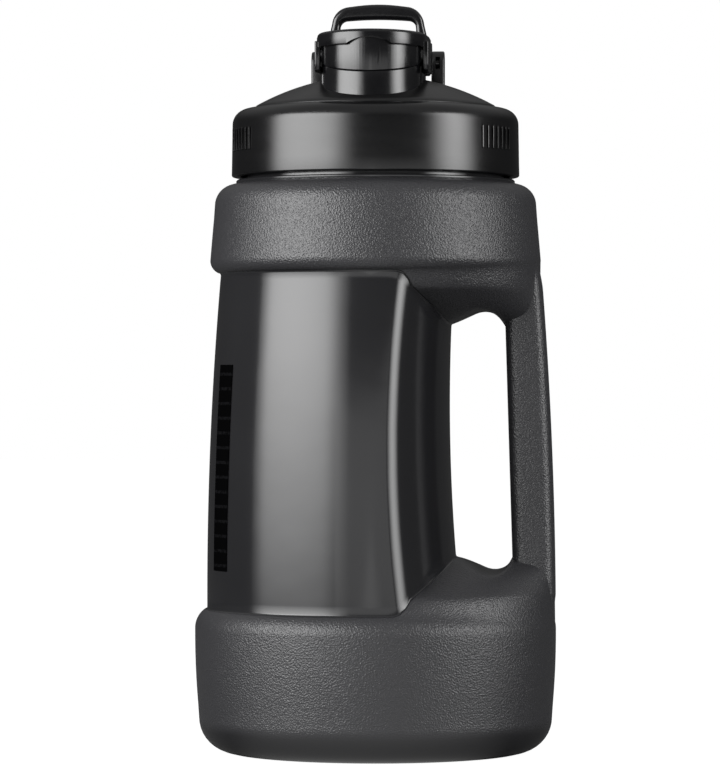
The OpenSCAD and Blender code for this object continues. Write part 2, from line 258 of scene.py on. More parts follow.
def skin(around, along, place):
    """A closed skin whose rings are put where place(i, j) says; open ends are capped."""
    bm = bmesh.new()
    bmesh.ops.create_grid(bm, x_segments=around, y_segments=along, size=1)
    for vert in bm.verts:
        i = round((vert.co.x + 1) / 2 * around)
        j = round((vert.co.y + 1) / 2 * along)
        vert.co = place(i % around, j)
    bmesh.ops.remove_doubles(bm, verts=bm.verts, dist=0.002)
    bmesh.ops.holes_fill(bm, edges=[e for e in bm.edges if e.is_boundary], sides=0)
    return tidy(bm)


def spun(profile, steps=128, centre=(0, 0), closed=True):
    """A solid turned about an upright axis from (radius, height) points."""
    bm = bmesh.new()
    verts = [bm.verts.new((centre[0] + r, centre[1], z)) for r, z in profile]
    pairs = list(zip(verts, verts[1:])) + ([(verts[-1], verts[0])] if closed else [])
    edges = [bm.edges.new(pair) for pair in pairs]
    bmesh.ops.spin(bm, geom=verts + edges, cent=(centre[0], centre[1], 0), axis=(0, 0, 1),
                   angle=FULL_TURN, steps=steps, use_merge=True)
    return tidy(bm)


def prism(outline, across, start, depth):
    """A flat outline drawn across x, y or z and pulled to a depth."""
    bm = bmesh.new()
    place = {"x": lambda a, b: (start, a, b), "y": lambda a, b: (a, start, b),
             "z": lambda a, b: (a, b, start)}[across]
    face = bm.faces.new([bm.verts.new(place(*point)) for point in outline])
    pulled = bmesh.ops.extrude_face_region(bm, geom=[face])["geom"]
    vec = {"x": (depth, 0, 0), "y": (0, depth, 0), "z": (0, 0, depth)}[across]
    bmesh.ops.translate(bm, verts=[g for g in pulled if isinstance(g, bmesh.types.BMVert)], vec=vec)
    return tidy(bm)


def rod(centre, radius, across, start, depth, steps=48):
    """A round bar along x, y or z."""
    outline = arc(centre[0], centre[1], radius, 0, 360, steps)[:-1]
    return prism(outline, across, start, depth)


def soften(bm, offset, segments=3, least=35, pick=None):
    """Rounds the edges sharper than an angle."""
    limit = math.radians(least)
    edges = [e for e in bm.edges if len(e.link_faces) == 2 and e.calc_face_angle(0) > limit
             and (pick is None or pick(e))]
    bmesh.ops.bevel(bm, geom=edges, offset=offset, offset_type="OFFSET", segments=segments,
                    profile=0.5, affect="EDGES", clamp_overlap=True, material=-1)
    return bm


def combine(bm, tool, operation):
    """Joins or cuts two closed solids. The tool is used up."""
    objects = []
    for part in (bm, tool):
        mesh = bpy.data.meshes.new("workpiece")
        part.to_mesh(mesh)
        objects.append(bpy.data.objects.new("workpiece", mesh))
        bpy.context.scene.collection.objects.link(objects[-1])
    modifier = objects[0].modifiers.new("cut", "BOOLEAN")
    modifier.solver = "MANIFOLD"
    modifier.operation = operation
    modifier.object = objects[1]
    bm.clear()
    bm.from_object(objects[0], bpy.context.evaluated_depsgraph_get())
    tool.free()
    for piece in objects:
        mesh = piece.data
        bpy.data.objects.remove(piece)
        bpy.data.meshes.remove(mesh)
    if not bm.faces:
        raise RuntimeError(f"{operation} left nothing: a solid isn't closed")
    return bm


def join(bm, *tools):
    for tool in tools:
        combine(bm, tool, "UNION")
    return bm


def cut(bm, *tools):
    for tool in tools:
        combine(bm, tool, "DIFFERENCE")
    return bm


def finish(bm, name, body, material, replaced, sharp=38, value=None):
    """Makes the object of a solid, with an optional painted value for its material."""
    bmesh.ops.dissolve_degenerate(bm, edges=bm.edges, dist=0.0005)
    limit = math.radians(sharp)
    for edge in bm.edges:
        edge.smooth = edge.calc_face_angle(0) < limit
    if value is not None:
        layer = bm.verts.layers.float.new("grain")
        for vert in bm.verts:
            vert[layer] = value(vert.co)
    bmesh.ops.scale(bm, vec=(MM, MM, MM), verts=bm.verts)
    mesh = bpy.data.meshes.new(name)
    bm.to_mesh(mesh)
    bm.free()
    mesh.polygons.foreach_set("use_smooth", [True] * len(mesh.polygons))
    mesh.materials.append(material)
    piece = bpy.data.objects.new(name, mesh)
    bpy.context.scene.collection.objects.link(piece)
    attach(piece, body)
    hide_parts(replaced)
    return piece


# ---------------------------------------------------------------- the body's form

class BodyForm:
    """Radii and heights of the body's skin, drawn in by t all over."""

    def __init__(self, sizes):
        self.belly = sizes.belly_radius / MM
        self.waist_radius = sizes.waist_radius / MM
        self.wall = sizes.wall / MM
        self.grip = sizes.grip_width / MM / 2

    def envelope(self, z):
        return self.belly - (z - BELLY_Z) ** 2 / (2 * BAND_BOW)

    def waist(self, angle, z, t=0):
        """The smooth waist: round at the front, flatter behind the handle."""
        front = self.waist_radius - (z - WAIST_Z) ** 2 / (2 * WAIST_BOW) - t
        back = BACK_RADIUS + (z - BACK_Z) ** 2 / (2 * BACK_BOW) - t
        side = BACK_X * math.cos(angle) + math.sqrt(back ** 2 - (BACK_X * math.sin(angle)) ** 2)
        return soft_min(front, side, CORNER_BLEND)

    @staticmethod
    def root(x, y, keel, hole, t, side):
        """Height of a root of the handle; side is 1 for the floor and -1 for the ceiling."""
        z0, rise, radius = keel
        span = (radius - t) ** 2 - x * x
        if x <= 0 or span <= y * y:
            return -side * math.inf
        share = y * y / span
        top = z0 + rise * (0.66 * share + 0.34 * ease(share, 0.76, 1)) - side * t
        cx, cz, r, slope = hole
        r += t
        if x < cx - r * math.sin(slope):
            reach = cx - r * math.sin(slope) - x
            edge = cz - side * (r * math.cos(slope) - reach * math.tan(slope))
        elif x < cx + r:
            edge = cz - side * math.sqrt(r * r - (x - cx) ** 2)
        else:
            return top
        return soft_min(top, edge, 1.5) if side > 0 else soft_max(top, edge, 1.5)

    def floor(self, angle, r, t):
        """Height of the shelf on top of the lower band."""
        x, y = r * math.cos(angle), r * math.sin(angle)
        lip = LIP_Z + math.sqrt(max((LIP - t) ** 2 - max(r - (self.belly - LIP), 0) ** 2, 0))
        root = self.root(x, y, ROOT_BOTTOM, HOLE_BOTTOM, t, 1)
        return lip if math.isinf(root) else soft_max(lip, root, min(2.5, x * 0.15))

    def ceiling(self, angle, r, t):
        """Height of the shelf under the upper band."""
        x, y = r * math.cos(angle), r * math.sin(angle)
        edge = self.envelope(UPPER_LIP_Z) - UPPER_LIP
        lip = UPPER_LIP_Z - math.sqrt(max((UPPER_LIP - t) ** 2 - max(r - edge, 0) ** 2, 0))
        root = self.root(x, y, ROOT_TOP, HOLE_TOP, t, -1)
        return lip if math.isinf(root) else soft_min(lip, root, min(2.5, x * 0.15))

    def shelf(self, angle, t, height, start, side):
        """From a band's edge in to the waist, ending in a small fillet."""
        z = WAIST_Z if side > 0 else UPPER_LIP_Z - UPPER_LIP
        for _ in range(3):
            wall = self.waist(angle, z, t)
            z = height(angle, wall + WAIST_FILLET, t) + side * WAIST_FILLET
        wall = self.waist(angle, z, t)
        points = []
        count = 34
        for i in range(1, count + 1):
            r = blend(start, wall + WAIST_FILLET, (i / count) ** 1.7)
            high = height(angle, r, t)
            points.append((min(r, self.envelope(high) - t), high))
        turn = z - side * WAIST_FILLET
        for a in (30, 60, 90):
            a = math.radians(a)
            points.append((wall + WAIST_FILLET * (1 - math.sin(a)),
                           turn + side * WAIST_FILLET * (1 - math.cos(a))))
        return points

    def section(self, angle, t=0):
        """The whole outline at one angle, from the middle of the base up to the axis again."""
        ball = (FOOT_RING ** 2 + PUNT ** 2) / (2 * PUNT)
        points = [(r, math.sqrt((ball + t) ** 2 - r * r) - ball + PUNT)
                  for r in (0, 10, 20, 30, 40, 46, FOOT_RING)]
        points += arc(FOOT_RADIUS, FOOT_CORNER, FOOT_CORNER - t, -90, 0, 10)
        points += [(self.belly - (z - BELLY_Z) ** 2 / (2 * FOOT_BOW) - t, z)
                   for z in (18, 23, 28, 33, 38, 43)]
        points.append((self.belly - t, LIP_Z))
        low = self.shelf(angle, t, self.floor, self.belly - t, 1)
        top_start = self.envelope(UPPER_LIP_Z) - t
        high = self.shelf(angle, t, self.ceiling, top_start, -1)[::-1]
        z0, z1 = low[-1][1], high[0][1]
        points += low
        points += [(self.waist(angle, blend(z0, z1, i / 40), t), blend(z0, z1, i / 40))
                   for i in range(1, 40)]
        points += high
        points.append((top_start, UPPER_LIP_Z))
        points += [(self.envelope(z) - t, z) for z in (190, 194, 198, 202)]
        points += arc(SHOULDER_X, SHOULDER_Z, SHOULDER - t, 0, 86, 10)
        if t:
            points += [(MOUTH + 1, 212.8), (MOUTH, 213.6), (MOUTH, 240), (0, 240)]
        else:
            points += [(52.7, 214.7), (52.6, 214.9), (52.9, 215.3), (52.9, 216.2), (52.5, 216.6),
                       (NECK, 216.6), (NECK, 225), (NECK, 232), (NECK, RIM_Z - 0.5),
                       (NECK - 0.5, RIM_Z), (40, RIM_Z), (0, RIM_Z)]
        return points

    @staticmethod
    def angle(i, count):
        """Angles stand closer together on the handle's side."""
        turn = FULL_TURN * i / count
        return turn - 0.5 * math.sin(turn)

    def solid(self, count, t=0):
        rings = [self.section(self.angle(i, count), t) for i in range(count)]

        def place(i, j):
            r, z = rings[i][j]
            angle = self.angle(i, count)
            return r * math.cos(angle), r * math.sin(angle), z
        return skin(count, len(rings[0]) - 1, place)

    def grip_solid(self, t=0):
        """The bar of the handle, a rounded oblong drawn along its height."""
        bottom, top = GRIP_HOLLOW if t else (GRIP_BOTTOM, GRIP_TOP)
        around, along = 64, 56

        def place(i, j):
            z = blend(bottom, top, j / along)
            inner = blend(HOLE_BOTTOM[0] + HOLE_BOTTOM[2], HOLE_TOP[0] + HOLE_TOP[2],
                          (z - HOLE_BOTTOM[1]) / (HOLE_TOP[1] - HOLE_BOTTOM[1])) + t
            sunk = 0.9 * (ease(z, 175, 186) + 1 - ease(z, 52, 60))
            outer = self.envelope(z) - 0.06 - t - sunk
            wide = self.grip - t + 1.2 * (abs(z - 117) / 60) ** 4
            turn = FULL_TURN * i / around
            c, s = math.cos(turn), math.sin(turn)
            power = 2 / GRIP_SQUARENESS
            x = (inner + outer) / 2 + (outer - inner) / 2 * math.copysign(abs(c) ** power, c)
            return x, wide * math.copysign(abs(s) ** power, s), z
        return skin(around, along, place)

    def grain(self, point):
        """1 where the mould is grained, 0 on the glossy waist, the neck and the foot's edge."""
        r, z = math.hypot(point.x, point.y), point.z
        if z > 215.2:
            return 0.0
        foot = ease(z, 8.5, 13)
        if z < LIP_Z + 2 or z > UPPER_LIP_Z - 1:
            return foot
        away = r - self.waist(math.atan2(point.y, point.x), z)
        return foot * ease(away, 0.25, 0.95)


def thread(root, crest, turns, z0, first=0.0):
    """A screw thread that climbs about the axis and runs out at both ends."""
    steps = round(turns * 60)
    section = [(0, -1.3), (1, -0.6), (1, 0.6), (0, 1.3)]

    def place(i, j):
        turn = j / steps * turns * FULL_TURN
        left = turns * FULL_TURN - turn
        depth = 0.02 + 0.98 * min(1, turn / 0.55, left / 0.55)
        across, up = section[i]
        r = root + (crest - root) * depth * across
        z = z0 + LEAD * turn / FULL_TURN + up
        return r * math.cos(turn + first), r * math.sin(turn + first), z
    return skin(4, steps, place)


# ---------------------------------------------------------------- shader nodes

class Signal:
    """A shader socket that Python's operators work on."""

    def __init__(self, nodes, socket):
        self.nodes = nodes
        self.socket = socket

    def _math(self, operation, a, b):
        return self.nodes.add("ShaderNodeMath", {"operation": operation}, {0: a, 1: b})

    def __add__(self, other):
        return self._math("ADD", self, other)

    def __sub__(self, other):
        return self._math("SUBTRACT", self, other)

    def __rsub__(self, other):
        return self._math("SUBTRACT", other, self)

    def __mul__(self, other):
        return self._math("MULTIPLY", self, other)

    __radd__ = __add__
    __rmul__ = __mul__


class Nodes:
    """The nodes of a material, a light or the world."""

    def __init__(self, tree, shader, place):
        self.tree = tree
        self.shader = tree.nodes[shader]
        self.place = self.add("ShaderNodeTexCoord", output=place)

    def add(self, kind, settings=None, inputs=None, output=0):
        node = self.tree.nodes.new(kind)
        for key, value in (settings or {}).items():
            setattr(node, key, value)
        for key, value in (inputs or {}).items():
            if isinstance(value, Signal):
                self.tree.links.new(value.socket, node.inputs[key])
            else:
                node.inputs[key].default_value = value
        return Signal(self, node.outputs[output])

    def ramp(self, value, low, high, bottom=0.0, top=1.0, way="SMOOTHSTEP"):
        """Carries a range of values to another, held at its ends."""
        return self.add("ShaderNodeMapRange", {"interpolation_type": way},
                        {"Value": value, "From Min": low, "From Max": high,
                         "To Min": bottom, "To Max": top})

    def link(self, socket, value):
        self.tree.links.new(value.socket, self.shader.inputs[socket])


class Finish(Nodes):
    """A material and its nodes."""

    def __init__(self, name):
        self.material = bpy.data.materials.new(name)
        self.material.use_nodes = True
        super().__init__(self.material.node_tree, "Principled BSDF", "Object")

    def noise(self, size, detail=2.0, roughness=0.5, place=None):
        return self.add("ShaderNodeTexNoise", None,
                        {"Vector": place or self.place, "Scale": 1 / size, "Detail": detail,
                         "Roughness": roughness})

    def cells(self, size, smooth=0.6):
        return self.add("ShaderNodeTexVoronoi", {"feature": "SMOOTH_F1"},
                        {"Vector": self.place, "Scale": 1 / size, "Smoothness": smooth})

    def mix_color(self, share, a, b):
        return self.add("ShaderNodeMix", {"data_type": "RGBA"},
                        {"Factor": share, 6: (*a, 1), 7: (*b, 1)}, output=2)

    def bump(self, height, distance, strength=1.0, below=None):
        inputs = {"Height": height, "Distance": distance, "Strength": strength}
        if below:
            inputs["Normal"] = below
        return self.add("ShaderNodeBump", None, inputs)

    def done(self, constants=None, **links):
        for key, value in (constants or {}).items():
            self.shader.inputs[key].default_value = value
        for key, value in links.items():
            self.link(key.replace("_", " "), value)
        return self.material


def shade(color, factor):
    return tuple(min(1, c * factor) for c in color)


def body_plastic(finish_settings):
    """Dark blown plastic: pebbled where the mould is grained, glossy on the waist."""
    f = Finish("blown_plastic")
    color = tuple(finish_settings.body_color)
    size = finish_settings.grain_size
    grain = f.add("ShaderNodeAttribute", {"attribute_name": "grain"}, output="Fac")
    pebbles = f.cells(size, 0.4)
    fine = f.noise(size * 0.8, 2, 0.5)
    broad = f.noise(0.03, 2, 0.5)
    height = (pebbles * 0.6 + fine * 0.9) * grain
    wavy = f.bump(broad * (1 - grain), 0.00035, 0.35)
    normal = f.bump(height, finish_settings.grain_height, 1.0, wavy)
    rough = grain * 0.19 + broad * 0.05 + 0.11
    tone = f.mix_color(grain * 0.6 + fine * grain * 0.6 + broad * 0.2,
                       shade(color, 0.85), shade(color, 2.05))
    return f.done({"Specular IOR Level": 0.5}, Base_Color=tone, Roughness=rough, Normal=normal)


def lid_plastic(finish_settings, name, rough, texture):
    """Satin black moulding with a fine spark-eroded texture."""
    f = Finish(name)
    color = tuple(finish_settings.lid_color)
    fine = f.noise(0.0006, 3, 0.65)
    broad = f.noise(0.02, 2, 0.5)
    streaks = f.noise(0.004, 2, 0.5, f.add("ShaderNodeMapping", None,
                      {"Vector": f.place, "Scale": (0.15, 0.15, 1)}))
    tone = f.mix_color(f.ramp(fine, 0.3, 0.7), shade(color, 0.8), shade(color, 1.3))
    return f.done({"Specular IOR Level": 0.5}, Base_Color=tone,
                  Roughness=fine * 0.08 + broad * 0.06 + streaks * 0.06 + rough,
                  Normal=f.bump(fine, texture, 0.8))


def cap_plastic(finish_settings, name="gloss_plastic", rough=0.1):
    """Glossy black moulding with faint flow waves and handling marks."""
    f = Finish(name)
    color = tuple(finish_settings.cap_color)
    broad = f.noise(0.012, 3, 0.55)
    marks = f.noise(0.0022, 4, 0.7)
    tone = f.mix_color(f.ramp(broad, 0.35, 0.65), shade(color, 0.85), shade(color, 1.2))
    return f.done({"Specular IOR Level": 0.55}, Base_Color=tone,
                  Roughness=marks * 0.1 + broad * 0.05 + rough,
                  Normal=f.bump(broad, 0.0001, 0.5))


def silicone(finish_settings):
    """Soft matte silicone with a little dust in it."""
    f = Finish("silicone_rubber")
    color = tuple(finish_settings.silicone_color)
    dust = f.noise(0.0009, 3, 0.6)
    tone = f.mix_color(f.ramp(dust, 0.35, 0.7), shade(color, 0.9), shade(color, 1.2))
    return f.done({"Specular IOR Level": 0.4, "Sheen Weight": 0.15}, Base_Color=tone,
                  Roughness=dust * 0.15 + 0.5, Normal=f.bump(dust, 0.00005, 0.6))


def drawn_steel():
    """Drawn steel with fine lines along the pin."""
    f = Finish("drawn_steel")
    along = f.add("ShaderNodeMapping", None, {"Vector": f.place, "Scale": (0.03, 1, 1)})
    lines = f.noise(0.0003, 3, 0.6, along)
    tone = f.mix_color(lines, (0.42, 0.42, 0.43), (0.62, 0.62, 0.63))
    return f.done({"Metallic": 1.0}, Base_Color=tone, Roughness=lines * 0.2 + 0.2,
                  Normal=f.bump(lines, 0.00002, 0.5))


def scale_print():
    """Printed black strip with faint tone-on-tone divisions."""
    f = Finish("strip_print")
    height = f.add("ShaderNodeSeparateXYZ", None, {"Vector": f.place}, output="Z")
    speckle = f.noise(0.0011, 3, 0.6)
    step = f.add("ShaderNodeMath", {"operation": "PINGPONG"}, {0: height, 1: 0.00275})
    marks = f.ramp(step, 0.0004, 0.0007, 1, 0)
    worn = marks * f.ramp(speckle, 0.35, 0.6)
    tone = f.mix_color(worn, (0.0012, 0.0012, 0.0013), (0.005, 0.005, 0.0055))
    return f.done({"Specular IOR Level": 0.0}, Base_Color=tone,
                  Roughness=speckle * 0.15 + worn * 0.1 + 0.42,
                  Normal=f.bump(speckle, 0.00004, 0.6))


# ---------------------------------------------------------------- pieces

class JUG_OT_body(bpy.types.Operator):
    """Blown body with its bands, waist, hollow handle and threaded neck"""
    bl_idname = "jug.body"
    bl_label = "Body"

    def execute(self, context):
        sizes = context.scene.jug_sizes
        form = BodyForm(sizes)
        bm = form.solid(sizes.steps_around)
        join(bm, form.grip_solid(), thread(NECK - 0.8, NECK + NECK_THREAD, 1.5, 221.5))
        hollow = form.solid(96, form.wall)
        join(hollow, form.grip_solid(form.wall))
        cut(bm, hollow)
        finish(bm, "body_shell", "jug", body_plastic(context.scene.jug_finish),
               "jug_body", sharp=42, value=form.grain)
        return {"FINISHED"}


class JUG_OT_volume_strip(bpy.types.Operator):
    """Thin printed strip on the waist"""
    bl_idname = "jug.volume_strip"
    bl_label = "Volume strip"

    def execute(self, context):
        sizes = context.scene.jug_sizes
        form = BodyForm(sizes)
        thick = sizes.strip_thickness / MM
        outline = rounded([(-STRIP_HALF, STRIP_BOTTOM, 0.5), (STRIP_HALF, STRIP_BOTTOM, 0.5),
                           (STRIP_HALF, STRIP_TOP, 0.5), (-STRIP_HALF, STRIP_TOP, 0.5)], 3)
        bm = prism(outline, "y", 0, 1)
        planes = [((0, 0, z), (0, 0, 1)) for z in range(72, 146, 4)]
        planes += [((x, 0, 0), (1, 0, 0)) for x in (-4, -2, 0, 2, 4)]
        for point, normal in planes:
            bmesh.ops.bisect_plane(bm, geom=bm.verts[:] + bm.edges[:] + bm.faces[:], dist=0.0001,
                                   plane_co=point, plane_no=normal)
        for vert in bm.verts:
            angle = math.radians(STRIP_ANGLE + vert.co.x)
            r = form.waist(angle, vert.co.z) + 0.02 + thick * vert.co.y
            vert.co = (r * math.cos(angle), r * math.sin(angle), vert.co.z)
        tidy(bm)
        finish(bm, "volume_strip", "jug", scale_print(), "volume_scale_strip")
        return {"FINISHED"}


class JUG_OT_collar(bpy.types.Operator):
    """Threaded collar of the lid with its grip marks"""
    bl_idname = "jug.collar"
    bl_label = "Lid collar"

    def execute(self, context):
        radius = context.scene.jug_sizes.collar_radius / MM
        bore = NECK + 2.5
        profile = [(bore + 0.3, COLLAR_BOTTOM), (radius - 0.7, COLLAR_BOTTOM)]
        profile += arc(radius - 0.7, COLLAR_BOTTOM + 0.7, 0.7, -70, 0, 4)
        profile += [(radius - 0.1, 224), (radius - 0.2, 231)]
        profile += arc(radius - 0.3 - 6, 237.5, 6, 0, 82, 14)
        profile += [(48.0, 243.55), (47.3, 243.75), (46.6, 243.8), (46.2, 243.5), (46.1, 243.0),
                    (46.1, 242.2), (bore, 242.2), (bore, 230), (bore, COLLAR_BOTTOM + 0.3)]
        bm = spun(profile, 180)
        join(bm, thread(bore + 0.8, NECK + 0.6, 1, 224.5))
        for middle in MARK_ANGLES:
            for i in range(MARK_COUNT):
                angle = math.radians(270 + middle + (i - (MARK_COUNT - 1) / 2) * MARK_PITCH)
                mark = prism(rounded([(-0.5, 227, 0.35), (0.5, 227, 0.35), (0.5, 235.5, 0.35),
                                      (-0.5, 235.5, 0.35)], 3), "x", radius - 1.3, 1.7)
                soften(mark, 0.15, 2)
                bmesh.ops.rotate(mark, verts=mark.verts, cent=(0, 0, 0),
                                 matrix=Matrix.Rotation(angle, 3, "Z"))
                join(bm, mark)
        finish(bm, "lid_ring", "lid",
               lid_plastic(context.scene.jug_finish, "satin_collar", 0.13, 0.000008), "lid_collar")
        return {"FINISHED"}


class JUG_OT_dome(bpy.types.Operator):
    """Domed top of the lid with the two brackets of the carry loop"""
    bl_idname = "jug.dome"
    bl_label = "Lid dome"

    def execute(self, context):
        outer_from = math.degrees(math.acos(DOME_RADIUS / DOME_BALL))
        inner = DOME_BALL - 2.2
        inner_from = math.degrees(math.acos((DOME_RADIUS - 2.2) / inner))
        profile = [(DOME_RADIUS - 2.2, 240.6), (50.7, 240.6), (51, 240.9), (51, 241.7), (50.7, 242),
                   (DOME_RADIUS, 242), (DOME_RADIUS, DOME_EDGE_Z - 0.5)]
        profile += arc(0, DOME_Z, DOME_BALL, outer_from + 0.35, 90, 26)
        profile += arc(0, DOME_Z, inner, 90, inner_from, 14)
        bm = spun(profile, 180)
        for side in (-1, 1):
            join(bm, bracket(side))
        cut(bm, rod((0, SPOUT_Y), SEAT_HOLE, "z", 230, 40, 96))
        for side in (-1, 1):
            cut(bm, rod(LOOP_HINGE, TRUNNION + 0.08, "x", 18 if side > 0 else -30, 12, 32))
        finish(bm, "lid_top", "lid",
               lid_plastic(context.scene.jug_finish, "satin_dome", 0.24, 0.00005), "lid_dome")
        return {"FINISHED"}


def bracket(side):
    """A block with a slot through it, beside one leg of the loop."""
    y, z = LOOP_HINGE
    outline = [(y - 4.9, 250.5), (y + 4.9, 250.5), (y + 4.5, 255)]
    outline += arc(y, z, 4.5, 0, 180, 14)
    outline += [(y - 4.5, 255)]
    start = BRACKET_IN if side > 0 else -BRACKET_IN - BRACKET_WIDTH
    bm = prism(outline, "x", start, BRACKET_WIDTH)
    soften(bm, 0.6, 3, 50, lambda e: max(v.co.z for v in e.verts) > 251)
    slot = prism([(y - 10, 259.9), (y + 10, 259.9), (y + 10, 264.6), (y - 10, 264.6)],
                 "x", start + BRACKET_CHEEK, 1.7)
    return cut(bm, slot)


class JUG_OT_gasket(bpy.types.Operator):
    """Flat silicone ring between the neck's rim and the lid"""
    bl_idname = "jug.gasket"
    bl_label = "Gasket"

    def execute(self, context):
        bm = spun(rounded([(45.2, 239.0, 0.4), (50.2, 239.0, 0.4), (50.2, 240.4, 0.4),
                           (45.2, 240.4, 0.4)], 4), 144)
        finish(bm, "rim_gasket", "gasket", silicone(context.scene.jug_finish),
               "lid_gasket")
        return {"FINISHED"}


def parting(y, gap=0):
    """Height of the sloping line between the cap and its seat."""
    return PARTING_Z + gap + (y - PARTING_Y) * math.tan(PARTING_TILT)


def dome_ball():
    """The whole ball that the lid's dome is a part of."""
    profile = arc(0, DOME_Z, DOME_BALL + 0.05, -90, 90, 60)
    profile[0], profile[-1] = (0, profile[0][1]), (0, profile[-1][1])
    return spun(profile, 128, closed=False)


class JUG_OT_spout(bpy.types.Operator):
    """Drinking spout with the sloping seat of the cap and the hinge lugs"""
    bl_idname = "jug.spout"
    bl_label = "Spout and seat"

    def execute(self, context):
        centre = (0, SPOUT_Y)
        bm = spun([(0, 242), (18.4, 242), (18.1, 251), (17.6, 266), (0, 266)], 128, centre, False)
        cut(bm, prism([(-80, parting(-80)), (40, parting(40)), (40, 320), (-80, 320)], "x", -60, 120))
        soften(bm, 0.35, 3, 50, lambda e: min(v.co.z for v in e.verts) > 250)
        cut(bm, dome_ball())
        spout = [(0, 243.5), (16.4, 243.5), (16.4, 252), (15.5, 252.6), (15.5, 264.6),
                 (15.2, 265.5), (14.5, 266), (0, 266)]
        join(bm, spun(spout, 128, centre, False), hinge_lug(1), hinge_lug(-1))
        cut(bm, spun([(0, 230), (12.5, 230), (12.5, 265.2), (13.1, 266.4), (13.1, 280), (0, 280)],
                     96, centre, False))
        cut(bm, rod(HINGE, 2.02, "x", -25, 50, 40))
        finish(bm, "spout_and_seat", "lid",
               cap_plastic(context.scene.jug_finish, "gloss_seat"), "spout_seat")
        return {"FINISHED"}


def hinge_lug(side):
    """An ear beside the spout that carries the pin."""
    y, z = HINGE
    outline = [(y - 24, 248), (y + 4.2, 248)] + arc(y, z, 4, 0, 150, 12)
    outline += [(y - 9, 258.4), (y - 24, 258.4)]
    bm = prism(outline, "x", 15.5 if side > 0 else -18.9, 3.4)
    soften(bm, 0.3, 2, 50)
    cut(bm, dome_ball())
    return cut(bm, rod((0, SPOUT_Y), 16.0, "z", 230, 50, 96))


class JUG_OT_cap(bpy.types.Operator):
    """Flip cap with its skirt, lip, roof and two arms"""
    bl_idname = "jug.cap"
    bl_label = "Flip cap"

    def execute(self, context):
        centre = (0, SPOUT_Y)
        plan = [(20.9, -4), (21.3, -5), (21.3, -14), (21.0, -19)]
        plan += [(20.35 * math.cos(a), SPOUT_Y + 20.1 * math.sin(a))
                 for a in [math.radians(-i * 5 - 5) for i in range(35)]]
        plan += [(-21.0, -19), (-21.3, -14), (-21.3, -5), (-20.9, -4)]
        bm = prism(plan, "z", CAP_EDGE_Z, 5.2)
        soften(bm, 2.3, 6, 60, lambda e: min(v.co.z for v in e.verts) > 270
               and max(v.co.y for v in e.verts) < 10)
        soften(bm, 0.5, 2, 60, lambda e: max(v.co.z for v in e.verts) < 265.1)
        for vert in bm.verts:
            high = ease(vert.co.z, 266.5, 270.2)
            crown = 1 - (vert.co.x / 21) ** 2 - ((vert.co.y + 20) / 30) ** 2 * 0.5
            vert.co.z += 0.75 * high * max(crown, 0)
        cut(bm, prism([(-19.2, -3), (19.2, -3), (19.2, -12), (-19.2, -12)], "z", 260, 6.4))
        skirt = spun([(0, 250), (18.4, 250), (18.4, 266), (0, 266)], 128, centre, False)
        lower = prism([(-80, 230), (40, 230), (40, parting(40, CAP_GAP)),
                       (-80, parting(-80, CAP_GAP))], "x", -60, 120)
        cut(skirt, lower)
        soften(skirt, 0.4, 3, 50, lambda e: max(v.co.z for v in e.verts) < 265.5)
        join(bm, skirt, cap_arm(1), cap_arm(-1))
        cut(bm, rod(centre, 16.2, "z", 240, 27.5, 96))
        recess_z = CAP_EDGE_Z + RECESS_DEPTH - RECESS_RADIUS
        recess = rod((0, recess_z), RECESS_RADIUS, "y", -50, 15.5, 72)
        cut(recess, rod(centre, 18.4, "z", 230, 50, 96))
        cut(bm, recess)
        cut(bm, rod(HINGE, 2.08, "x", -25, 50, 40))
        finish(bm, "spout_cap", "cap", cap_plastic(context.scene.jug_finish),
               "flip_cap")
        return {"FINISHED"}


def cap_arm(side):
    """One arm of the cap, from its lip back over the hinge."""
    y, z = HINGE
    outline = [(-27, 259), (-26.2, 256.8), (-24.5, 256)] + arc(y, z, 6.5, -100, 60, 18)
    outline += [(-3, 268.6), (-10, 268.4), (-27, 267.5)]
    bm = prism(outline, "x", 19.2 if side > 0 else -21.3, 2.1)
    return soften(bm, 0.45, 3, 50)


class JUG_OT_plug(bpy.types.Operator):
    """Silicone plug inside the cap that closes the spout"""
    bl_idname = "jug.plug"
    bl_label = "Cap plug"

    def execute(self, context):
        profile = [(0, 266.1), (9.9, 266.1), (10.1, 265.9), (10.1, 263.7), (10.4, 263.4),
                   (11.3, 263.4), (11.6, 263.7), (11.8, 265.9), (12.0, 266.1), (15.5, 266.1),
                   (15.8, 266.4), (15.8, 267.2), (15.6, 267.45), (0, 267.45)]
        bm = spun(profile, 112, (0, SPOUT_Y), False)
        finish(bm, "spout_plug", "cap", silicone(context.scene.jug_finish), "cap_seal")
        return {"FINISHED"}


class JUG_OT_pin(bpy.types.Operator):
    """Finish of the steel hinge pin"""
    bl_idname = "jug.pin"
    bl_label = "Hinge pin"

    def execute(self, context):
        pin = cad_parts["cap_hinge_pin"]
        steel = drawn_steel()
        if not pin.material_slots:
            raise RuntimeError("the hinge pin has no material slot")
        for slot in pin.material_slots:
            slot.material = steel
        return {"FINISHED"}


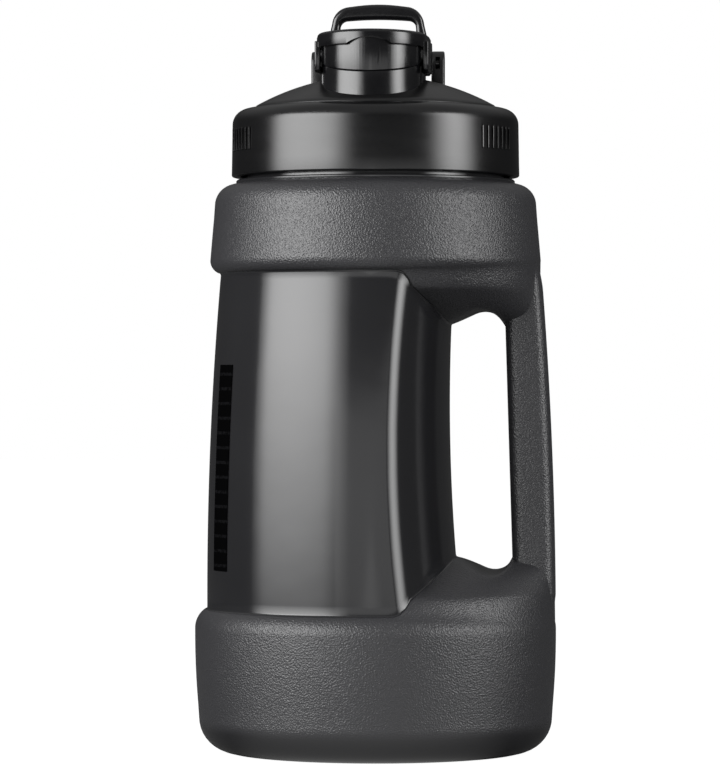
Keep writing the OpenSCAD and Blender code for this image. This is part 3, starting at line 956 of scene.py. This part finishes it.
class JUG_OT_loop(bpy.types.Operator):
    """Folding carry loop with its eyes and trunnions"""
    bl_idname = "jug.loop"
    bl_label = "Carry loop"

    def execute(self, context):
        y, z = LOOP_HINGE
        depth = context.scene.jug_sizes.loop_depth / MM
        outer = [(LOOP_FOOT, z), (LOOP_FOOT, z + 5), (19.2, 270.5)] + arc(10.6, 277, 7, 5, 84, 12)
        outer += [(x, LOOP_TOP - 0.9 * (x / 10.6) ** 2) for x in (8, 5, 2.5)]
        inner = [(x, LOOP_UNDERSIDE - 0.5 * (x / 11.6) ** 2) for x in (2.5, 6, 9)]
        inner += arc(11.6, 275.8, 3, 88, 4, 8) + [(LOOP_FOOT - LOOP_LEG, z)]
        outline = outer + [(0, LOOP_TOP)] + [(-x, h) for x, h in outer[::-1]]
        outline += [(-x, h) for x, h in inner[::-1]] + [(0, LOOP_UNDERSIDE)] + inner
        bm = prism(outline, "y", y - depth / 2, depth)
        soften(bm, 1.4, 5, 60, lambda e: abs(e.verts[0].co.y - e.verts[1].co.y) < 0.1
               and max(v.co.z for v in e.verts) > z + 0.5)
        for side in (-1, 1):
            eye = rod(LOOP_HINGE, 5, "x", LOOP_FOOT - LOOP_LEG if side > 0 else -LOOP_FOOT, LOOP_LEG)
            soften(eye, 0.8, 3, 60)
            pin = rod(LOOP_HINGE, TRUNNION, "x", 18 if side > 0 else -25.2, 7.2, 40)
            soften(pin, 0.4, 2, 60)
            join(bm, eye, pin)
        finish(bm, "folding_loop", "loop",
               cap_plastic(context.scene.jug_finish, "gloss_loop", 0.14), "carry_loop")
        return {"FINISHED"}


# ---------------------------------------------------------------- stage

def softbox(name, power, azimuth, half_angle, low, high, glow):
    """An upright rectangular light that faces the jug; azimuth 0 is the camera's side."""
    turn = math.radians(azimuth)
    data = bpy.data.lights.new(name, "AREA")
    data.shape = "RECTANGLE"
    data.size = 2 * LIGHT_DISTANCE * math.tan(math.radians(half_angle))
    data.size_y = high - low
    data.energy = power
    data.use_nodes = True
    nodes = Nodes(data.node_tree, "Emission", "Object")
    spot = nodes.add("ShaderNodeNewGeometry", output="Parametric")
    across = nodes.add("ShaderNodeSeparateXYZ", None, {"Vector": spot}, output="X")
    up = nodes.add("ShaderNodeSeparateXYZ", None, {"Vector": spot}, output="Y")
    nodes.link("Strength", glow(nodes, across, up))
    lamp = bpy.data.objects.new(name, data)
    lamp.location = (LIGHT_DISTANCE * math.sin(turn), -LIGHT_DISTANCE * math.cos(turn),
                     (low + high) / 2)
    lamp.rotation_euler = (math.radians(90), 0, turn)
    lamp.visible_camera = False
    bpy.context.scene.collection.objects.link(lamp)


def left_glow(nodes, across, up):
    """Brightest near its middle, fading to both sides and towards the floor."""
    off = across - 0.48
    edge = nodes.ramp(across, 0.72, 1, 1, 0.2) * nodes.ramp(across, 0, 0.2, 0.3, 1)
    return (1 - off * off * 2.2) * edge * nodes.ramp(up, 0, 0.36, 0.26, 1.2, "LINEAR")


def front_glow(nodes, across, up):
    """Even, fading near the top."""
    return nodes.ramp(up, 0.72, 1, 1, 0)


def right_glow(nodes, across, up):
    """Fading to both sides, and a little towards the floor."""
    bell = across * (1 - across) * 4
    return bell * bell * nodes.ramp(up, 0, 0.36, 0.62, 1.15, "LINEAR")


def studio_world():
    """White where the camera looks at it, and dim in the jug's reflections."""
    world = bpy.data.worlds.new("studio")
    world.use_nodes = True
    nodes = Nodes(world.node_tree, "Background", "Generated")
    depth = nodes.add("ShaderNodeSeparateXYZ", None, {"Vector": nodes.place}, output="Y")
    above = nodes.add("ShaderNodeSeparateXYZ", None, {"Vector": nodes.place}, output="Z")
    level = nodes.ramp(depth, 0.2, 0.85, 0.1, 0.04) + nodes.ramp(above, 0.15, 0.8, 0, 0.35)
    seen = nodes.add("ShaderNodeLightPath", output="Is Camera Ray")
    nodes.link("Strength", level * (1 - seen) + seen)
    nodes.shader.inputs["Color"].default_value = (1, 1, 1, 1)
    bpy.context.scene.world = world


class JUG_OT_stage(bpy.types.Operator):
    """Pale floor, soft lights and the camera"""
    bl_idname = "jug.stage"
    bl_label = "Stage"

    def execute(self, context):
        scene = context.scene
        studio = scene.jug_studio
        scene.view_settings.view_transform = "Standard"
        bm = bmesh.new()
        bmesh.ops.create_grid(bm, x_segments=1, y_segments=1, size=6)
        mesh = bpy.data.meshes.new("floor")
        bm.to_mesh(mesh)
        bm.free()
        floor = bpy.data.objects.new("floor", mesh)
        scene.collection.objects.link(floor)
        f = Finish("pale_floor")
        ahead = f.add("ShaderNodeSeparateXYZ", None, {"Vector": f.place}, output="Y")
        aside = f.add("ShaderNodeSeparateXYZ", None, {"Vector": f.place}, output="X")
        spread = f.ramp(aside * aside, 0.002, 0.02, 0.7, 0)
        seen = f.add("ShaderNodeLightPath", output="Is Camera Ray")
        glow = f.ramp(ahead, -0.08, -0.03, 1, 0) * spread
        f.link("Emission Color", f.mix_color(glow * (1 - seen) + seen, (0, 0, 0), (1, 1, 1)))
        mesh.materials.append(f.done({"Base Color": (*studio.floor_color, 1), "Roughness": 0.9,
                                      "Specular IOR Level": 0.1, "Emission Strength": 0.97}))
        floor.visible_diffuse = False
        softbox("left_light", studio.left_power, -51, 35.5, 0, 0.7, left_glow)
        softbox("right_light", studio.right_power, 67, 24, 0, 0.7, right_glow)
        softbox("front_light", studio.front_power, 10, 33, 0, 0.25, front_glow)
        studio_world()
        data = bpy.data.cameras.new("camera")
        data.sensor_width = 36
        data.lens = CAMERA_LENS
        camera = bpy.data.objects.new("camera", data)
        turn = math.radians(CAMERA_TURN)
        camera.location = (CAMERA_DISTANCE * math.sin(turn), -CAMERA_DISTANCE * math.cos(turn),
                           CAMERA_HEIGHT)
        camera.rotation_euler = (math.radians(90), 0,
                                 turn + math.atan(CAMERA_SHIFT / CAMERA_DISTANCE))
        scene.collection.objects.link(camera)
        scene.camera = camera
        return {"FINISHED"}


class JUG_PT_panel(bpy.types.Panel):
    """Sizes, finish and pieces of the jug"""
    bl_idname = "JUG_PT_panel"
    bl_label = "Drinking Jug"
    bl_space_type = "VIEW_3D"
    bl_region_type = "UI"
    bl_category = "Jug"

    def draw(self, context):
        for settings in (context.scene.jug_sizes, context.scene.jug_finish, context.scene.jug_studio):
            box = self.layout.box()
            for key in settings.__annotations__:
                box.prop(settings, key)
        for operator in OPERATORS:
            self.layout.operator(operator.bl_idname)


GROUPS = {"jug_sizes": JugSizes, "jug_finish": JugFinish, "jug_studio": JugStudio}
OPERATORS = (JUG_OT_body, JUG_OT_volume_strip, JUG_OT_collar, JUG_OT_dome, JUG_OT_gasket,
             JUG_OT_spout, JUG_OT_cap, JUG_OT_plug, JUG_OT_pin, JUG_OT_loop, JUG_OT_stage)


def register():
    for cls in (*GROUPS.values(), *OPERATORS, JUG_PT_panel):
        bpy.utils.register_class(cls)
    for name, group in GROUPS.items():
        setattr(bpy.types.Scene, name, PointerProperty(type=group))


def unregister():
    for name in GROUPS:
        delattr(bpy.types.Scene, name)
    for cls in reversed((*GROUPS.values(), *OPERATORS, JUG_PT_panel)):
        bpy.utils.unregister_class(cls)


def main():
    register()
    for piece in ("body", "volume_strip", "collar", "dome", "gasket", "spout", "cap", "plug", "pin",
                  "loop", "stage"):
        getattr(bpy.ops.jug, piece)()


if __name__ == "__main__":
    main()
